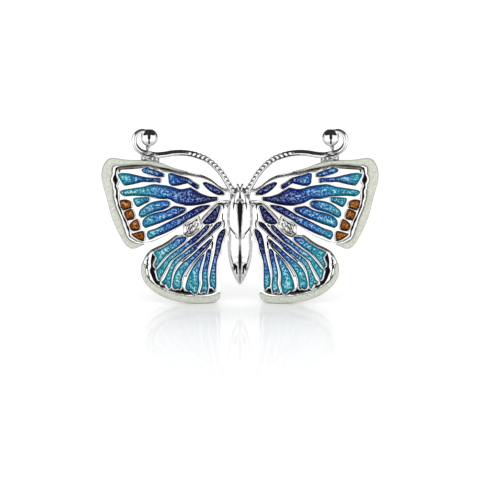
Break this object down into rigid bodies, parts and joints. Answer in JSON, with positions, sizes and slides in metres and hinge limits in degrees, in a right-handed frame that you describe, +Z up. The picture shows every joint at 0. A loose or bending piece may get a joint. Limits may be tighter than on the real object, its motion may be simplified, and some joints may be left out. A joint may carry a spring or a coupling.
{
  "type": "butterfly brooch",
  "caption": "Butterfly brooch with enamelled wings, wire antennae, a hinged pin and a turning safety catch.",
  "frame": {"origin": "on the axis of the pin stem, in the brooch's plane of symmetry", "axes": "+Z up as worn, towards the antennae; the front with the enamel faces -Y and the pin side faces +Y; X along the wingspan, with the pin pointing to -X"},
  "size_m": [0.042, 0.0078, 0.028],
  "materials": {
    "silver": "polished silver",
    "enamel_blue": "glossy translucent enamel over textured silver",
    "enamel_amber": "glossy translucent enamel",
    "enamel_pale": "pale translucent enamel over brushed silver",
    "pin_steel": "polished spring wire"
  },
  "bodies": {
    "brooch": {"forewing_left": "silver", "forewing_right": "silver", "hindwing_left": "silver", "hindwing_right": "silver", "antenna_left": "silver", "antenna_right": "silver", "antenna_ball_left": "silver", "antenna_ball_right": "silver", "solder_pad_left": "silver", "solder_pad_right": "silver", "solder_bridge_left": "silver", "solder_bridge_right": "silver", "body": "silver", "palps": "silver", "forewing_border_left": "enamel_pale", "forewing_border_right": "enamel_pale", "hindwing_border_left": "enamel_pale", "hindwing_border_right": "enamel_pale", "amber_cells_left": "enamel_amber", "amber_cells_right": "enamel_amber", "forewing_cell_1_left": "enamel_blue", "forewing_cell_1_right": "enamel_blue", "forewing_cell_2_left": "enamel_blue", "forewing_cell_2_right": "enamel_blue", "forewing_cell_3_left": "enamel_blue", "forewing_cell_3_right": "enamel_blue", "forewing_cell_4_left": "enamel_blue", "forewing_cell_4_right": "enamel_blue", "forewing_cell_5_left": "enamel_blue", "forewing_cell_5_right": "enamel_blue", "forewing_cell_6_left": "enamel_blue", "forewing_cell_6_right": "enamel_blue", "forewing_cell_7_left": "enamel_blue", "forewing_cell_7_right": "enamel_blue", "forewing_cell_8_left": "enamel_blue", "forewing_cell_8_right": "enamel_blue", "forewing_cell_9_left": "enamel_blue", "forewing_cell_9_right": "enamel_blue", "hindwing_cell_1_left": "enamel_blue", "hindwing_cell_1_right": "enamel_blue", "hindwing_cell_2_left": "enamel_blue", "hindwing_cell_2_right": "enamel_blue", "hindwing_cell_3_left": "enamel_blue", "hindwing_cell_3_right": "enamel_blue", "hindwing_cell_4_left": "enamel_blue", "hindwing_cell_4_right": "enamel_blue", "hindwing_cell_5_left": "enamel_blue", "hindwing_cell_5_right": "enamel_blue", "hindwing_cell_6_left": "enamel_blue", "hindwing_cell_6_right": "enamel_blue", "hindwing_cell_7_left": "enamel_blue", "hindwing_cell_7_right": "enamel_blue", "hindwing_cell_8_left": "enamel_blue", "hindwing_cell_8_right": "enamel_blue", "hinge_bracket": "silver", "hinge_rivet": "pin_steel", "catch_housing": "silver"},
    "pin": {"pin_stem": "pin_steel"},
    "roller": {"catch_roller": "pin_steel"}
  },
  "joints": [
    {"name": "pin_hinge", "type": "hinge", "parent": "brooch", "child": "pin", "pos_m": [0.0115, 0, 0], "axis": [0, 0, -1], "range_deg": [0, 100]},
    {"name": "catch_roller_turn", "type": "hinge", "parent": "brooch", "child": "roller", "pos_m": [-0.0105, 0, 0], "axis": [1, 0, 0], "range_deg": [0, 100]}
  ]
}
